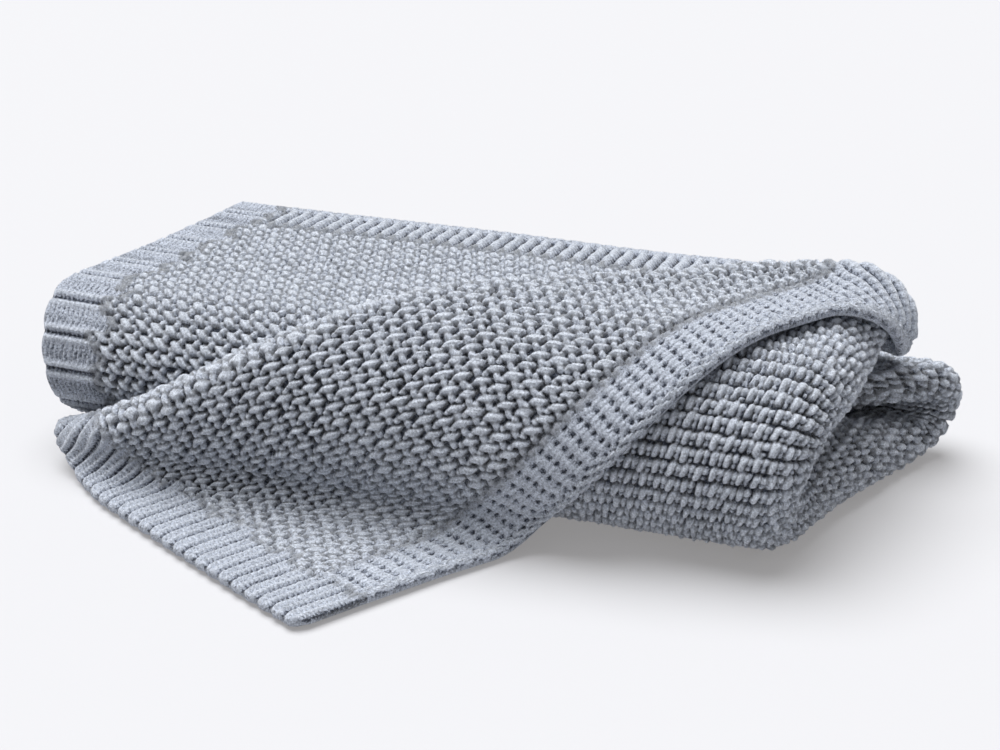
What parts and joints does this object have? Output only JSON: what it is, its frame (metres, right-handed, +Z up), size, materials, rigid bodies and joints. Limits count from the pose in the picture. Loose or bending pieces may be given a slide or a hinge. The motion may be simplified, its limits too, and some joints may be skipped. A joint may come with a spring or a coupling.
{
  "type": "chunky knit throw blanket",
  "caption": "Blue-grey chunky knit throw folded into a neat stack, one corner turned over the front onto the table",
  "frame": {"origin": "centre of the bounding box in plan, at the table", "axes": "X along the stack towards the spine fold, Y from the turned corner to the back edge, Z up"},
  "size_m": [0.8696, 0.5436, 0.2328],
  "materials": {
    "knit": "matte blue-grey chunky knit, slightly fuzzy yarn"
  },
  "bodies": {
    "root": {"blanket": "knit"}
  },
  "joints": []
}
